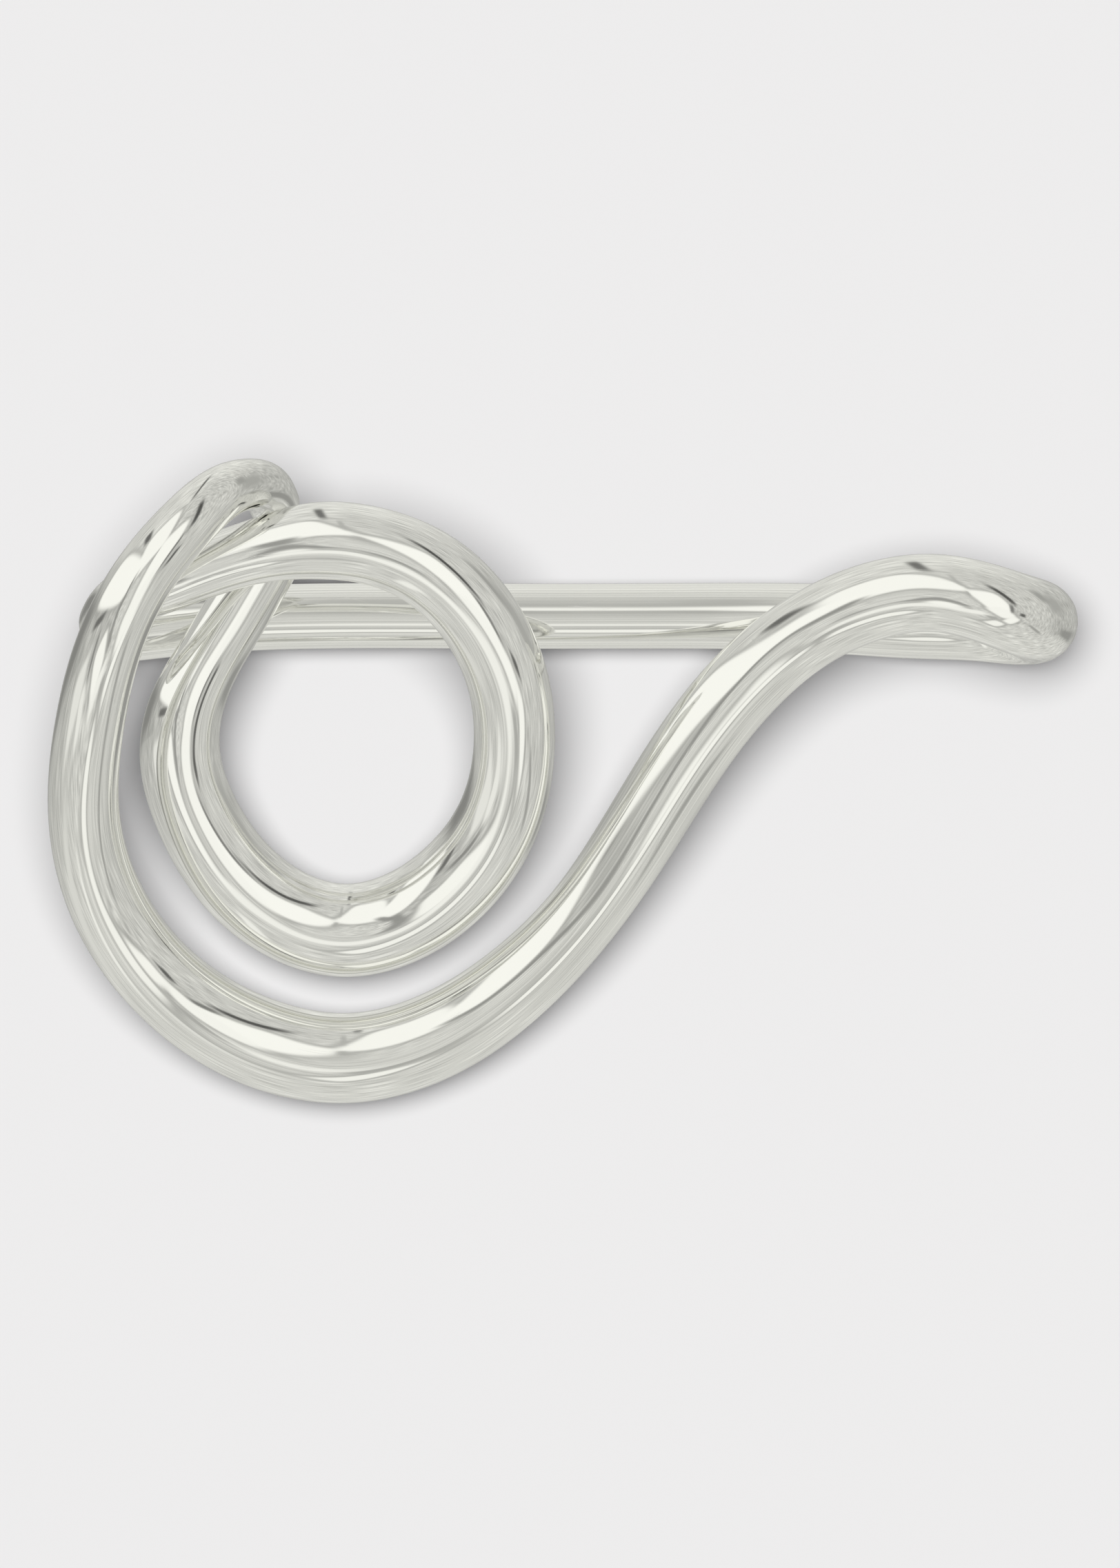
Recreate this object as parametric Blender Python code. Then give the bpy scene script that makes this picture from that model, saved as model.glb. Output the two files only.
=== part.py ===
"""A two-piece metal ring disentanglement puzzle, lying flat on its back.

A polished metal rod is bent into a looped frame: a straight bar on the table, a
U-bend at the right, an arm that crosses over the bar, a wide loop and a hook at
the upper left. A second rod, coiled into an open ring, hangs in the hook with its
two ends crossing. It lies over the bar, and its turn leans down to the table.

Units are metres. X runs along the bar, Y across it towards the hook, Z up. The
origin is below the middle of the object, on the surface that it lies on.
"""

import math

import bmesh
import bpy
import numpy as np
from mathutils import Vector

MM = 0.001

SIDES = 16  # facets round a rod
STEPS = 4  # sections from one station to the next
DOME_RINGS = 4  # sections that round off a rod's end

# The ring swings about this line, which runs along its upper strand inside the hook.
SWING_POINT = (-19.2, 14.9, 12.1)
SWING_HEADING_DEG = 30.0  # the line's direction in plan, from +X

# Each station of a rod is x, y and z of its middle, and its radius, in millimetres.
BAR = [
    (-27.7, 9.9, 2.1, 2.1),
    (-22.9, 10.4, 2.1, 2.1),
    (-15.8, 10.7, 2.1, 2.1),
    (-5.2, 10.7, 2.1, 2.1),
    (5.0, 10.7, 2.1, 2.1),
    (15.6, 10.6, 2.2, 2.2),
    (22.6, 10.3, 2.4, 2.35),
]
U_BEND = [
    (27.1, 10.2, 2.6, 2.45),
    (29.2, 10.1, 3.5, 2.55),
    (30.3, 10.3, 5.9, 2.6),
    (29.2, 10.7, 8.4, 2.6),
    (27.1, 11.4, 9.3, 2.55),
]
ARM = [
    (23.7, 12.1, 9.2, 2.5),
    (19.8, 11.6, 8.8, 2.5),
    (15.6, 9.7, 8.2, 2.5),
    (11.8, 6.6, 7.7, 2.55),
    (8.3, 2.3, 7.0, 2.55),
    (4.5, -3.7, 6.0, 2.5),
]
LOOP = [
    (1.0, -8.7, 5.0, 2.45),
    (-3.0, -12.8, 4.1, 2.6),
    (-7.9, -16.1, 3.3, 2.8),
    (-13.8, -17.7, 3.0, 2.9),
    (-19.8, -16.6, 3.3, 2.9),
    (-25.1, -13.3, 4.8, 2.7),
    (-29.0, -8.2, 7.6, 2.5),
    (-30.6, -2.5, 10.9, 2.3),
    (-30.1, 4.2, 14.2, 2.2),
]
HOOK = [
    (-28.6, 9.5, 16.0, 2.1),
    (-26.7, 13.1, 16.4, 2.0),
    (-24.2, 16.2, 15.9, 1.9),
    (-21.8, 18.4, 14.3, 1.75),
    (-20.0, 19.0, 11.7, 1.65),
    (-19.0, 18.7, 9.0, 1.65),
    (-18.6, 17.9, 7.0, 1.65),
]
RING_LOWER_END = [
    (-19.2, 13.8, 6.7, 2.05),
    (-20.9, 11.0, 6.7, 2.1),
    (-22.9, 7.7, 6.7, 2.15),
]
RING_TURN = [
    (-24.4, 4.2, 6.5, 2.45),
    (-24.6, 1.5, 6.0, 2.6),
    (-23.6, -2.0, 5.2, 2.7),
    (-21.3, -5.7, 4.3, 2.85),
    (-18.0, -8.4, 3.6, 2.95),
    (-14.1, -9.5, 3.4, 3.0),
    (-10.3, -8.6, 3.8, 2.95),
    (-6.8, -6.1, 4.9, 2.85),
    (-4.3, -2.5, 6.5, 2.7),
    (-3.2, 2.4, 8.5, 2.6),
    (-3.7, 6.8, 10.0, 2.6),
    (-5.7, 10.8, 11.1, 2.6),
    (-8.8, 13.7, 11.7, 2.55),
    (-12.3, 15.1, 11.8, 2.5),
]
RING_UPPER_END = [
    (-16.0, 15.4, 11.7, 2.45),
    (-19.4, 14.8, 11.6, 2.1),
    (-22.9, 13.7, 11.4, 1.95),
    (-25.8, 12.6, 11.0, 1.9),
    (-27.7, 11.8, 10.2, 1.9),
    (-28.7, 10.9, 9.0, 1.95),
    (-29.1, 10.2, 8.0, 1.95),
]


def clear_scene():
    for obj in list(bpy.data.objects):
        bpy.data.objects.remove(obj)


def polished_metal(name, colour, roughness):
    material = bpy.data.materials.new(name)
    material.use_nodes = True
    shader = material.node_tree.nodes["Principled BSDF"]
    shader.inputs["Base Color"].default_value = (*colour, 1.0)
    shader.inputs["Metallic"].default_value = 1.0
    shader.inputs["Roughness"].default_value = roughness
    return material


def smooth_route(stations):
    """Sections along a natural cubic spline through the stations, as rows of x, y, z, radius."""
    stations = np.array(stations)
    spans = np.linalg.norm(np.diff(stations[:, :3], axis=0), axis=1)
    count = len(stations)
    system = np.eye(count)
    pull = np.zeros_like(stations)
    for i in range(1, count - 1):
        before, after = spans[i - 1], spans[i]
        system[i, i - 1 : i + 2] = before, 2 * (before + after), after
        rise_after = (stations[i + 1] - stations[i]) / after
        rise_before = (stations[i] - stations[i - 1]) / before
        pull[i] = 6 * (rise_after - rise_before)
    bend = np.linalg.solve(system, pull)
    sections = []
    for i, span in enumerate(spans):
        for along in np.arange(STEPS) / STEPS:
            left = 1 - along
            chord = left * stations[i] + along * stations[i + 1]
            sag_left = (left**3 - left) * bend[i]
            sag_right = (along**3 - along) * bend[i + 1]
            sections.append(chord + (sag_left + sag_right) * span**2 / 6)
    sections.append(stations[-1])
    return np.array(sections)


def directions(middles):
    """Unit tangents at the sections, from each one's neighbours."""
    tangents = np.gradient(middles, axis=0)
    return tangents / np.linalg.norm(tangents, axis=1)[:, None]


def domed(sections):
    """The sections with both ends rounded off, and the two tips."""
    tangents = directions(sections[:, :3])
    ends = []
    for section, outward in ((sections[0], -tangents[0]), (sections[-1], tangents[-1])):
        middle, radius = section[:3], section[3]
        rings = []
        for angle in np.linspace(0, math.pi / 2, DOME_RINGS + 1)[1:-1]:
            rings.append([*(middle + outward * radius * math.sin(angle)), radius * math.cos(angle)])
        ends.append((rings, middle + outward * radius))
    (first, first_tip), (last, last_tip) = ends
    return np.array(first[::-1] + sections.tolist() + last), first_tip, last_tip


def rod(name, stations, material, origin=(0.0, 0.0, 0.0)):
    """A solid round rod through the stations, with its object's origin at a point in millimetres."""
    sections, first_tip, last_tip = domed(smooth_route(stations))
    tangents = directions(sections[:, :3])
    tangents[:DOME_RINGS] = tangents[DOME_RINGS]
    tangents[-DOME_RINGS:] = tangents[-DOME_RINGS - 1]
    bm = bmesh.new()
    side = Vector(tangents[0]).orthogonal().normalized()
    rings = []
    for section, tangent in zip(sections, tangents):
        tangent = Vector(tangent)
        side = (side - tangent * side.dot(tangent)).normalized()
        across = tangent.cross(side)
        middle = Vector(section[:3] - np.array(origin))
        ring = []
        for turn in range(SIDES):
            angle = math.tau * turn / SIDES
            offset = side * math.cos(angle) + across * math.sin(angle)
            ring.append(bm.verts.new((middle + offset * section[3]) * MM))
        rings.append(ring)
    for ring, following in zip(rings, rings[1:]):
        for turn in range(SIDES):
            after = (turn + 1) % SIDES
            bm.faces.new((ring[turn], ring[after], following[after], following[turn]))
    for tip, ring in ((first_tip, rings[0][::-1]), (last_tip, rings[-1])):
        pole = bm.verts.new(Vector(tip - np.array(origin)) * MM)
        for turn in range(SIDES):
            bm.faces.new((ring[turn], ring[(turn + 1) % SIDES], pole))
    mesh = bpy.data.meshes.new(name)
    bm.to_mesh(mesh)
    bm.free()
    mesh.shade_smooth()
    mesh.materials.append(material)
    obj = bpy.data.objects.new(name, mesh)
    obj.location = Vector(origin) * MM
    bpy.context.scene.collection.objects.link(obj)
    return obj


def build():
    clear_scene()
    frame_metal = polished_metal("frame_metal", (0.86, 0.86, 0.82), 0.12)
    ring_metal = polished_metal("ring_metal", (0.87, 0.87, 0.84), 0.10)
    rod("looped_frame", BAR + U_BEND + ARM + LOOP + HOOK, frame_metal)

    swing_axis = bpy.data.objects.new("swing_axis", None)
    swing_axis.location = Vector(SWING_POINT) * MM
    swing_axis.rotation_euler.z = math.radians(SWING_HEADING_DEG)
    bpy.context.scene.collection.objects.link(swing_axis)
    ring = rod("open_ring", RING_LOWER_END + RING_TURN + RING_UPPER_END, ring_metal, SWING_POINT)
    bpy.context.view_layer.update()
    ring.parent = swing_axis
    ring.matrix_parent_inverse = swing_axis.matrix_world.inverted()


build()
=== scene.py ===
"""Looks for the two-piece ring puzzle: both rods in fine polished metal, on a pale floor in soft light.

The rods' stations are in millimetres, and the scene and the rods' UV maps are in metres. Cards and
lamps are placed by azimuth from +X and by angle from straight up, in degrees.
"""

import math

import bmesh
import bpy
import numpy as np
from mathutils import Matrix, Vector


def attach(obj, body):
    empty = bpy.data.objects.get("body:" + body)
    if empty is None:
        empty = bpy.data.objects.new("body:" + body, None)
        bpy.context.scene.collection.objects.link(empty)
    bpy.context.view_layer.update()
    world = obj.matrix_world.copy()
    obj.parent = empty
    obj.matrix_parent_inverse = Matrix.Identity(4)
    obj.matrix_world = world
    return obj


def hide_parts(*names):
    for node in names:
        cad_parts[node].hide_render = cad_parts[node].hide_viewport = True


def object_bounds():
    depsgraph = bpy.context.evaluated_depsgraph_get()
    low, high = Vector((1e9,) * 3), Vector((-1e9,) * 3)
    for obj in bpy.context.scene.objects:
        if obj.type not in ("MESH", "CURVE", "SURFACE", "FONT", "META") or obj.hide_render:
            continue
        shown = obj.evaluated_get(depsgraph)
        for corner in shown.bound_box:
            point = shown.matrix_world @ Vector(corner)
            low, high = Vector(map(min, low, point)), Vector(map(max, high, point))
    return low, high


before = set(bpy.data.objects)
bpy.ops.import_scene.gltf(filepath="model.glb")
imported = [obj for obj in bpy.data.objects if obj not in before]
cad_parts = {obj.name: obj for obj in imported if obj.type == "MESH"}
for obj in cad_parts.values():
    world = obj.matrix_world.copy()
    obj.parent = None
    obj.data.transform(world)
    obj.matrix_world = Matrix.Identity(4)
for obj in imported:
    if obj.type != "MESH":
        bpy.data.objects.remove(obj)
cad_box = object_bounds()

MM = 0.001

SIDES = 64  # facets round a rod
SECTION_GAP = 0.28  # mm from one section of a rod to the next
DOME_RINGS = 14  # sections that round off a rod's end
TIP_GAP = 0.2  # mm on the UV map from a rod's last ring to its tip

RELIEF = 0.00002  # metres that a height of 1 in the metal's fine relief stands up
PAPER = (0.8, 0.794, 0.794, 1)  # the floor's colour
FLOOR_REACH = 6.0  # metres from the middle of the floor to its edges

PICTURE_RATIO = 2274 / 1624  # height of the picture over its width
PICTURE_SHARE = 0.92  # share of the picture's width that the puzzle fills
VIEW_SHIFT = (-0.004, -0.002)  # how far the view's middle is from the puzzle's, in puzzle widths

# Each station of a rod is x, y and z of its middle, and its radius, in millimetres.
FRAME_STATIONS = [
    # straight bar
    (-27.7, 9.9, 2.1, 2.1),
    (-22.9, 10.4, 2.1, 2.1),
    (-15.8, 10.7, 2.1, 2.1),
    (-5.2, 10.7, 2.1, 2.1),
    (5.0, 10.7, 2.1, 2.1),
    (15.6, 10.6, 2.2, 2.2),
    (22.6, 10.3, 2.4, 2.35),
    # U-bend
    (27.1, 10.2, 2.6, 2.45),
    (29.2, 10.1, 3.5, 2.55),
    (30.3, 10.3, 5.9, 2.6),
    (29.2, 10.7, 8.4, 2.6),
    (27.1, 11.4, 9.3, 2.55),
    # arm
    (23.7, 12.1, 9.2, 2.5),
    (19.8, 11.6, 8.8, 2.5),
    (15.6, 9.7, 8.2, 2.5),
    (11.8, 6.6, 7.7, 2.55),
    (8.3, 2.3, 7.0, 2.55),
    (4.5, -3.7, 6.0, 2.5),
    # wide loop
    (1.0, -8.7, 5.0, 2.45),
    (-3.0, -12.8, 4.1, 2.6),
    (-7.9, -16.1, 3.3, 2.8),
    (-13.8, -17.7, 3.0, 2.9),
    (-19.8, -16.6, 3.3, 2.9),
    (-25.1, -13.3, 4.8, 2.7),
    (-29.0, -8.2, 7.6, 2.5),
    (-30.6, -2.5, 10.9, 2.3),
    (-30.1, 4.2, 14.2, 2.2),
    # hook
    (-28.6, 9.5, 16.0, 2.1),
    (-26.7, 13.1, 16.4, 2.0),
    (-24.2, 16.2, 15.9, 1.9),
    (-21.8, 18.4, 14.3, 1.75),
    (-20.0, 19.0, 11.7, 1.65),
    (-19.0, 18.7, 9.0, 1.65),
    (-18.6, 17.9, 7.0, 1.65),
]
RING_STATIONS = [
    # lower end
    (-19.2, 13.8, 6.7, 2.05),
    (-20.9, 11.0, 6.7, 2.1),
    (-22.9, 7.7, 6.7, 2.15),
    # turn
    (-24.4, 4.2, 6.5, 2.45),
    (-24.6, 1.5, 6.0, 2.6),
    (-23.6, -2.0, 5.2, 2.7),
    (-21.3, -5.7, 4.3, 2.85),
    (-18.0, -8.4, 3.6, 2.95),
    (-14.1, -9.5, 3.4, 3.0),
    (-10.3, -8.6, 3.8, 2.95),
    (-6.8, -6.1, 4.9, 2.85),
    (-4.3, -2.5, 6.5, 2.7),
    (-3.2, 2.4, 8.5, 2.6),
    (-3.7, 6.8, 10.0, 2.6),
    (-5.7, 10.8, 11.1, 2.6),
    (-8.8, 13.7, 11.7, 2.55),
    (-12.3, 15.1, 11.8, 2.5),
    # upper end
    (-16.0, 15.4, 11.7, 2.45),
    (-19.4, 14.8, 11.6, 2.1),
    (-22.9, 13.7, 11.4, 1.95),
    (-25.8, 12.6, 11.0, 1.9),
    (-27.7, 11.8, 10.2, 1.9),
    (-28.7, 10.9, 9.0, 1.95),
    (-29.1, 10.2, 8.0, 1.95),
]


def smooth_route(stations):
    """Sections a short step apart on a natural cubic spline, as rows of x, y, z, radius."""
    stations = np.array(stations)
    spans = np.linalg.norm(np.diff(stations[:, :3], axis=0), axis=1)
    count = len(stations)
    system = np.eye(count)
    pull = np.zeros_like(stations)
    for i in range(1, count - 1):
        before, after = spans[i - 1], spans[i]
        system[i, i - 1 : i + 2] = before, 2 * (before + after), after
        rise_after = (stations[i + 1] - stations[i]) / after
        rise_before = (stations[i] - stations[i - 1]) / before
        pull[i] = 6 * (rise_after - rise_before)
    bend = np.linalg.solve(system, pull)
    sections = []
    for i, span in enumerate(spans):
        steps = max(2, round(span / SECTION_GAP))
        for along in np.arange(steps) / steps:
            left = 1 - along
            chord = left * stations[i] + along * stations[i + 1]
            sag_left = (left**3 - left) * bend[i]
            sag_right = (along**3 - along) * bend[i + 1]
            sections.append(chord + (sag_left + sag_right) * span**2 / 6)
    sections.append(stations[-1])
    return np.array(sections)


def directions(middles):
    """Unit tangents at the sections, from each one's neighbours."""
    tangents = np.gradient(middles, axis=0)
    return tangents / np.linalg.norm(tangents, axis=1)[:, None]


def domed(sections):
    """The sections with both ends rounded off, and the two tips."""
    tangents = directions(sections[:, :3])
    ends = []
    for section, outward in ((sections[0], -tangents[0]), (sections[-1], tangents[-1])):
        middle, radius = section[:3], section[3]
        rings = []
        for angle in np.linspace(0, math.pi / 2, DOME_RINGS + 1)[1:-1]:
            rings.append([*(middle + outward * radius * math.sin(angle)), radius * math.cos(angle)])
        ends.append((rings, middle + outward * radius))
    (first, first_tip), (last, last_tip) = ends
    return np.array(first[::-1] + sections.tolist() + last), first_tip, last_tip


def rod(name, stations, material):
    """A fine round rod through the stations, with a UV map in metres: round the rod, then along it."""
    sections, first_tip, last_tip = domed(smooth_route(stations))
    tangents = directions(sections[:, :3])
    tangents[:DOME_RINGS] = tangents[DOME_RINGS]
    tangents[-DOME_RINGS:] = tangents[-DOME_RINGS - 1]
    steps = np.linalg.norm(np.diff(sections[:, :3], axis=0), axis=1)
    reached = np.concatenate([[0], np.cumsum(steps)])
    bm = bmesh.new()
    uv = bm.loops.layers.uv.new("rod_uv")
    side = Vector(tangents[0]).orthogonal().normalized()
    rings = []
    for section, tangent in zip(sections, tangents):
        tangent = Vector(tangent)
        side = (side - tangent * side.dot(tangent)).normalized()
        across = tangent.cross(side)
        middle = Vector(section[:3])
        ring = []
        for turn in range(SIDES):
            angle = math.tau * turn / SIDES
            offset = side * math.cos(angle) + across * math.sin(angle)
            ring.append(bm.verts.new((middle + offset * section[3]) * MM))
        rings.append(ring)
    around = math.tau * float(np.median(sections[:, 3])) * MM / SIDES

    def face(corners, places):
        made = bm.faces.new(corners)
        made.smooth = True
        for loop, place in zip(made.loops, places):
            loop[uv].uv = place

    for i, (ring, following) in enumerate(zip(rings, rings[1:])):
        low, high = reached[i] * MM, reached[i + 1] * MM
        for turn in range(SIDES):
            after = (turn + 1) % SIDES
            near, far = turn * around, (turn + 1) * around
            face(
                (ring[turn], ring[after], following[after], following[turn]),
                ((near, low), (far, low), (far, high), (near, high)),
            )
    for tip, ring, level, beyond in (
        (first_tip, rings[0][::-1], 0.0, -TIP_GAP * MM),
        (last_tip, rings[-1], reached[-1] * MM, (reached[-1] + TIP_GAP) * MM),
    ):
        pole = bm.verts.new(Vector(tip) * MM)
        for turn in range(SIDES):
            near, far = turn * around, (turn + 1) * around
            face(
                (ring[turn], ring[(turn + 1) % SIDES], pole),
                ((near, level), (far, level), ((near + far) / 2, beyond)),
            )
    mesh = bpy.data.meshes.new(name)
    bm.to_mesh(mesh)
    bm.free()
    mesh.materials.append(material)
    obj = bpy.data.objects.new(name, mesh)
    bpy.context.scene.collection.objects.link(obj)
    return obj


class Nodes:
    """Short way to add and join the nodes of one tree."""

    def __init__(self, tree):
        self.tree = tree

    def add(self, kind, inputs=(), **settings):
        node = self.tree.nodes.new(kind)
        for key, value in settings.items():
            setattr(node, key, value)
        for socket, value in dict(inputs).items():
            if isinstance(value, bpy.types.NodeSocket):
                self.tree.links.new(value, node.inputs[socket])
            else:
                node.inputs[socket].default_value = value
        return node

    def math(self, operation, *values):
        return self.add("ShaderNodeMath", enumerate(values), operation=operation).outputs[0]

    def dot(self, vector, axis):
        node = self.add("ShaderNodeVectorMath", {0: vector, 1: tuple(axis)}, operation="DOT_PRODUCT")
        return node.outputs["Value"]

    def blend(self, share, first, second):
        """The first colour turning into the second as the share goes from 0 to 1."""
        sockets = {"Factor": share, 6: first, 7: second}  # 6 and 7 are the colour sockets
        return self.add("ShaderNodeMix", sockets, data_type="RGBA").outputs[2]

    def rescale(self, value, start, end, low, high):
        """The low number where the value is at its start, and the high one where it is at its end."""
        sockets = {"Value": value, "From Min": start, "From Max": end, "To Min": low, "To Max": high}
        return self.add("ShaderNodeMapRange", sockets).outputs["Result"]

    def ramp_up(self, value, start, end):
        """Smoothly 0 at the start and 1 at the end."""
        sockets = {"Value": value, "From Min": start, "From Max": end}
        node = self.add("ShaderNodeMapRange", sockets, interpolation_type="SMOOTHSTEP")
        return node.outputs["Result"]

    def card(self, ray, azimuth, drop, half_width, half_height, roll, softness):
        """1 where a ray points at a soft-edged rounded card, and 0 elsewhere."""
        sideways = spot(azimuth + 90, 90)
        down = spot(azimuth, drop + 90)
        tilt = math.radians(roll)
        across = sideways * math.cos(tilt) + down * math.sin(tilt)
        along = down * math.cos(tilt) - sideways * math.sin(tilt)
        depth = self.dot(ray, spot(azimuth, drop))
        fourths = []
        for axis, half in ((across, half_width), (along, half_height)):
            reach = self.math("DIVIDE", self.dot(ray, axis / math.tan(math.radians(half))), depth)
            square = self.math("MULTIPLY", reach, reach)
            fourths.append(self.math("MULTIPLY", square, square))
        spread = self.math("POWER", self.math("ADD", *fourths), 0.25)
        share = self.ramp_up(spread, 1 + softness, 1 - softness)
        # Rays that point away from the card don't see it.
        return self.math("MULTIPLY", share, self.ramp_up(depth, 0.02, 0.1))

    def ramp(self, factor, stops):
        """A ramp of grey levels from (place, level) stops."""
        node = self.add("ShaderNodeValToRGB", {"Fac": factor})
        elements = node.color_ramp.elements
        while len(elements) > 1:
            elements.remove(elements[-1])
        elements[0].position = stops[0][0]
        elements[0].color = grey(stops[0][1])
        for place, level in stops[1:]:
            elements.new(place).color = grey(level)
        return node.outputs["Color"]


def grey(level):
    """An opaque grey."""
    return (level, level, level, 1)


def polished_silver(name, colour, seed):
    """Hand-polished metal: a warm white mirror with slight waves, haze, fine grain and hairline marks."""
    material = bpy.data.materials.new(name)
    material.use_nodes = True
    nodes = Nodes(material.node_tree)
    shader = material.node_tree.nodes["Principled BSDF"]
    uv = nodes.add("ShaderNodeUVMap", uv_map="rod_uv").outputs["UV"]

    def noise(across, along, detail, roughness):
        """Noise with so many cells in a metre across the grain and along it."""
        place = nodes.add(
            "ShaderNodeMapping",
            {"Vector": uv, "Location": (seed, seed * 0.7, 0), "Scale": (across, along, 1)},
        )
        sockets = {"Vector": place.outputs["Vector"], "Scale": 1.0, "Detail": detail}
        sockets["Roughness"] = roughness
        return nodes.add("ShaderNodeTexNoise", sockets).outputs["Fac"]

    haze = noise(260, 90, 3.0, 0.55)
    grain = noise(9000, 260, 4.0, 0.6)
    drawn = noise(1500, 45, 3.0, 0.55)
    waves = noise(260, 120, 1.0, 0.4)

    # Hairline marks are the edges of long slanting cells, kept only where there is haze.
    slant = nodes.add(
        "ShaderNodeMapping", {"Vector": uv, "Rotation": (0, 0, 0.5), "Scale": (2600, 170, 1)}
    )
    cells = nodes.add(
        "ShaderNodeTexVoronoi",
        {"Vector": slant.outputs["Vector"], "Scale": 1.0},
        feature="DISTANCE_TO_EDGE",
    )
    hairline = nodes.ramp(cells.outputs["Distance"], [(0.0, 1.0), (0.018, 0.0)])
    sparse = nodes.ramp(haze, [(0.56, 0.0), (0.66, 1.0)])
    marks = nodes.math("MULTIPLY", hairline, sparse)

    paler = tuple(min(1.0, part * 1.035) for part in colour)
    tone = nodes.blend(haze, (*colour, 1), (*paler, 1))
    nodes.tree.links.new(tone, shader.inputs["Base Color"])
    shader.inputs["Metallic"].default_value = 1.0

    rough = nodes.rescale(haze, 0.3, 0.7, 0.05, 0.085)
    rough = nodes.math("MULTIPLY_ADD", grain, 0.008, rough)
    rough = nodes.math("MULTIPLY_ADD", marks, 0.1, rough)
    nodes.tree.links.new(rough, shader.inputs["Roughness"])

    height = nodes.math("MULTIPLY", waves, 0.3)
    height = nodes.math("MULTIPLY_ADD", grain, 0.008, height)
    height = nodes.math("MULTIPLY_ADD", drawn, 0.05, height)
    height = nodes.math("MULTIPLY_ADD", marks, -0.05, height)
    bump = nodes.add("ShaderNodeBump", {"Strength": 1.0, "Distance": RELIEF, "Height": height})
    nodes.tree.links.new(bump.outputs["Normal"], shader.inputs["Normal"])
    return material


def floor_material():
    """Matt white paper, with no gloss."""
    material = bpy.data.materials.new("floor_paper")
    material.use_nodes = True
    shader = material.node_tree.nodes["Principled BSDF"]
    shader.inputs["Base Color"].default_value = PAPER
    shader.inputs["Roughness"].default_value = 1.0
    shader.inputs["Specular IOR Level"].default_value = 0.0
    return material


def make_floor():
    """A wide floor at the height that the puzzle lies on. The metal doesn't mirror it."""
    mesh = bpy.data.meshes.new("floor")
    signs = ((-1, -1), (1, -1), (1, 1), (-1, 1))
    corners = [(x * FLOOR_REACH, y * FLOOR_REACH, 0) for x, y in signs]
    mesh.from_pydata(corners, [], [(0, 1, 2, 3)])
    mesh.materials.append(floor_material())
    floor = bpy.data.objects.new("floor", mesh)
    bpy.context.scene.collection.objects.link(floor)
    floor.visible_glossy = False


def spot(azimuth, polar):
    """The direction at an azimuth from +X and an angle from straight up, both in degrees."""
    turn, drop = math.radians(azimuth), math.radians(polar)
    return Vector((math.sin(drop) * math.cos(turn), math.sin(drop) * math.sin(turn), math.cos(drop)))


BOX_LEVEL = 0.9  # cards brighter than this are soft boxes with a dark housing
HOUSING = 2.0  # degrees of dark housing round a soft box
HOUSING_LEVEL = 0.33
HOUSING_SOFTNESS = 0.3
ZENITH_LEVEL = 0.7  # the tent round the camera, straight up
TABLE_LEVEL = 0.34  # the table under the puzzle, straight down
BACKDROP = (0.84, 0.833, 0.833, 1)  # what the camera itself sees beyond the floor
TINT = (1, 1, 0.95)  # the warm tint of the tent's light

# Brightness of the tent's cloth above level and below it, as stops. A stop's place goes from 0 at the
# left of the picture, past the bottom, the right and the top, to 1 at the left again.
CLOTH_ABOVE = [
    (0.0, 0.54),
    (0.08, 0.6),
    (0.17, 0.68),
    (0.33, 0.68),
    (0.42, 0.62),
    (0.5, 0.64),
    (0.58, 0.64),
    (0.67, 0.62),
    (0.75, 0.66),
    (0.8, 0.76),
    (0.9, 0.74),
    (1.0, 0.54),
]
CLOTH_BELOW = [
    (0.0, 0.49),
    (0.08, 0.58),
    (0.13, 0.68),
    (0.25, 0.72),
    (0.38, 0.68),
    (0.41, 0.58),
    (0.44, 0.47),
    (0.5, 0.52),
    (0.58, 0.52),
    (0.64, 0.62),
    (0.72, 0.8),
    (0.83, 0.74),
    (0.9, 0.62),
    (0.94, 0.42),
    (1.0, 0.42),
]

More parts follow.
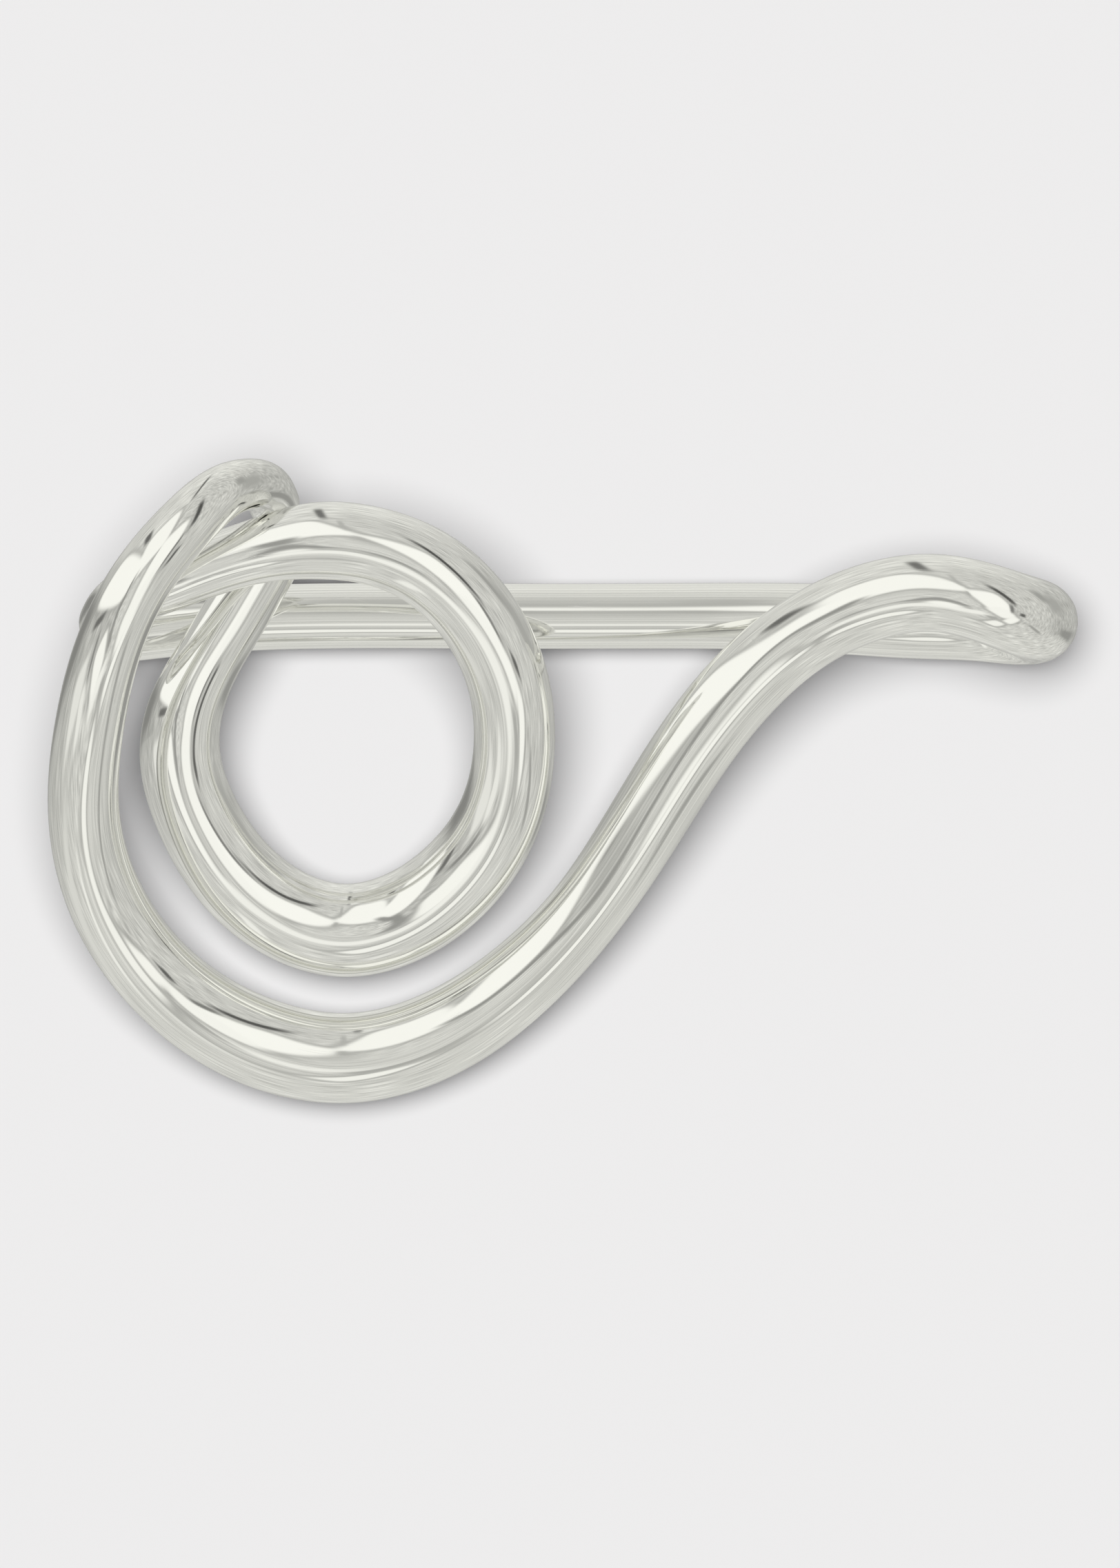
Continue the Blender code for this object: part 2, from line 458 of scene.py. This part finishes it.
# The studio that the metal mirrors, as soft-edged cards: azimuth and polar angle of a card's middle,
# its half-width, half-height and roll, all in degrees, the softness of its edge, and its brightness.
CARDS = [
    # wide soft box over the right of the camera, and the one beside it
    (14, 17, 24, 14, 0, 0.18, 0.98),
    (314, 27, 11, 12, 10, 0.25, 0.95),
    # long reflectors that slope away from them, towards the bottom of the picture
    (306, 43, 12, 5, -12, 0.3, 0.95),
    (274, 53, 9, 5, -44, 0.3, 0.93),
    (256, 36, 11, 4.5, -35, 0.4, 0.9),
    # soft boxes at the upper left
    (116, 40, 13.5, 24, 0, 0.15, 0.97),
    (151, 61, 12, 43, 0, 0.15, 0.98),
    # soft boxes at the lower left
    (222, 33, 15, 8, 0, 0.2, 0.96),
    (214, 56, 8, 5, 0, 0.3, 0.84),
    (196, 71, 10, 12, 0, 0.3, 0.8),
    # narrow reflectors
    (243, 76, 2.5, 9, -8, 0.4, 0.88),
    (222, 102, 5, 24, -8, 0.5, 0.7),
    # dark flags round the wide soft box
    (43, 42, 20, 3, 20, 0.5, 0.08),
    (353, 32, 10, 2.2, 0, 0.5, 0.2),
    (341, 45, 4, 3.5, 0, 0.5, 0.12),
    # thin dark poles towards the top of the picture
    (90, 13, 1.0, 6, 0, 0.4, 0.42),
    (91, 47, 1.0, 14, 0, 0.5, 0.45),
    (97, 88, 1.8, 20, 0, 0.5, 0.16),
    # dark flags between the soft boxes at the left
    (131, 76, 2.4, 10, 0, 0.5, 0.14),
    (167, 19, 10, 2, -15, 0.5, 0.3),
    (205, 19, 12, 2.2, 0, 0.5, 0.3),
    (235, 21, 8, 2.2, 10, 0.5, 0.32),
    (193, 49, 10, 2.5, 0, 0.5, 0.26),
    (169, 67, 2.6, 12, 0, 0.5, 0.16),
    # dark walls at the lower right and low down
    (318, 72, 2.5, 13, 10, 0.5, 0.36),
    (278, 39, 5, 3.5, 0, 0.5, 0.42),
    (20, 104, 14, 12, 0, 0.6, 0.4),
    (34, 92, 10, 6, 0, 0.6, 0.36),
    (166, 134, 8, 22, 0, 0.5, 0.24),
    (335, 130, 5, 18, 0, 0.5, 0.3),
]


def studio(nodes, ray):
    """The colour of the studio where a ray points."""
    parts = nodes.add("ShaderNodeSeparateXYZ", {"Vector": ray})
    # From 0 straight up to 1 straight down.
    polar = nodes.math("DIVIDE", nodes.math("ARCCOSINE", parts.outputs["Z"]), math.pi)
    turn = nodes.math("DIVIDE", nodes.math("ARCTAN2", parts.outputs["Y"], parts.outputs["X"]), math.tau)
    around = nodes.math("ADD", turn, 0.5)

    above = nodes.ramp(around, CLOTH_ABOVE)
    below = nodes.ramp(around, CLOTH_BELOW)
    light = nodes.blend(nodes.ramp_up(polar, 0.42, 0.6), above, below)
    light = nodes.blend(nodes.ramp_up(polar, 0.18, 0.05), light, grey(ZENITH_LEVEL))

    # The cloth is uneven: its brightness varies in short level streaks.
    rows = nodes.math("MULTIPLY", polar, 22.0)
    columns = nodes.math("MULTIPLY", around, 7.0)
    place = nodes.add("ShaderNodeCombineXYZ", {"X": rows, "Y": columns}).outputs["Vector"]
    streaks = nodes.add("ShaderNodeTexNoise", {"Vector": place, "Detail": 2.0}).outputs["Fac"]
    shade = nodes.rescale(streaks, 0.32, 0.68, 0.66, 1.22)
    scaled = nodes.add("ShaderNodeVectorMath", {0: light, "Scale": shade}, operation="SCALE")
    light = scaled.outputs["Vector"]

    for azimuth, drop, half_width, half_height, roll, _, level in CARDS:
        if level > BOX_LEVEL:
            sides = (half_width + HOUSING, half_height + HOUSING)
            housing = nodes.card(ray, azimuth, drop, *sides, roll, HOUSING_SOFTNESS)
            light = nodes.blend(housing, light, grey(HOUSING_LEVEL))
    for *card, level in CARDS:
        light = nodes.blend(nodes.card(ray, *card), light, grey(level))

    table = nodes.math("MULTIPLY", nodes.ramp_up(polar, 0.8, 0.97), 0.6)
    light = nodes.blend(table, light, grey(TABLE_LEVEL))
    tinted = nodes.add("ShaderNodeVectorMath", {0: light, 1: TINT}, operation="MULTIPLY")
    return tinted.outputs["Vector"]


def make_world():
    """A light tent of pale cards and dark flags for the metal to mirror, and a plain backdrop."""
    world = bpy.data.worlds.new("light_tent")
    world.use_nodes = True
    bpy.context.scene.world = world
    world.cycles_visibility.diffuse = False
    nodes = Nodes(world.node_tree)
    ray = nodes.add("ShaderNodeTexCoord").outputs["Generated"]
    camera_ray = nodes.add("ShaderNodeLightPath").outputs["Is Camera Ray"]
    seen = nodes.blend(camera_ray, studio(nodes, ray), BACKDROP)
    background = world.node_tree.nodes["Background"]
    nodes.tree.links.new(seen, background.inputs["Color"])
    background.inputs["Strength"].default_value = 1.0


# Lamps that light the floor alone: name, azimuth and polar angle, width in degrees, and energy.
FLOOR_LAMPS = [
    ("floor_lamp", 125, 7, 34, 2.87),
    ("floor_fill", 305, 10, 140, 0.5),
]


def make_floor_lights():
    """A wide soft lamp high above, a little to the upper left, and a weaker and much wider one."""
    for name, azimuth, polar, width, energy in FLOOR_LAMPS:
        light = bpy.data.lights.new(name, "SUN")
        light.angle = math.radians(width)
        light.energy = energy
        lamp = bpy.data.objects.new(name, light)
        lamp.rotation_euler = spot(azimuth, polar).to_track_quat("Z", "Y").to_euler()
        lamp.visible_glossy = False
        bpy.context.scene.collection.objects.link(lamp)


def make_camera():
    """Straight above the puzzle, with the bar level across the picture, from far off with a long lens."""
    low, high = cad_box
    width = high.x - low.x
    middle = (low + high) / 2
    camera = bpy.data.cameras.new("camera")
    camera.lens = 400
    camera.sensor_width = 36
    camera.clip_start = 0.01
    camera.clip_end = 20
    picture_height = width / PICTURE_SHARE * PICTURE_RATIO
    distance = picture_height * camera.lens / camera.sensor_width
    aside, upward = VIEW_SHIFT
    view = bpy.data.objects.new("camera", camera)
    view.location = (middle.x + aside * width, middle.y + upward * width, middle.z + distance)
    bpy.context.scene.collection.objects.link(view)
    bpy.context.scene.camera = view


def build():
    frame_silver = polished_silver("frame_silver", (0.93, 0.93, 0.905), 0.0)
    ring_silver = polished_silver("ring_silver", (0.935, 0.935, 0.912), 3.7)
    for name, node, body, slot, stations, silver in (
        ("looped_frame_rod", "looped_frame", "frame", "frame_metal", FRAME_STATIONS, frame_silver),
        ("open_ring_rod", "open_ring", "ring", "ring_metal", RING_STATIONS, ring_silver),
    ):
        piece = rod(name, stations, silver)
        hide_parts(node)
        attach(piece, body)
        piece.visible_diffuse = False
    make_floor()
    make_world()
    make_floor_lights()
    make_camera()
    bpy.context.scene.view_settings.view_transform = "Standard"


build()
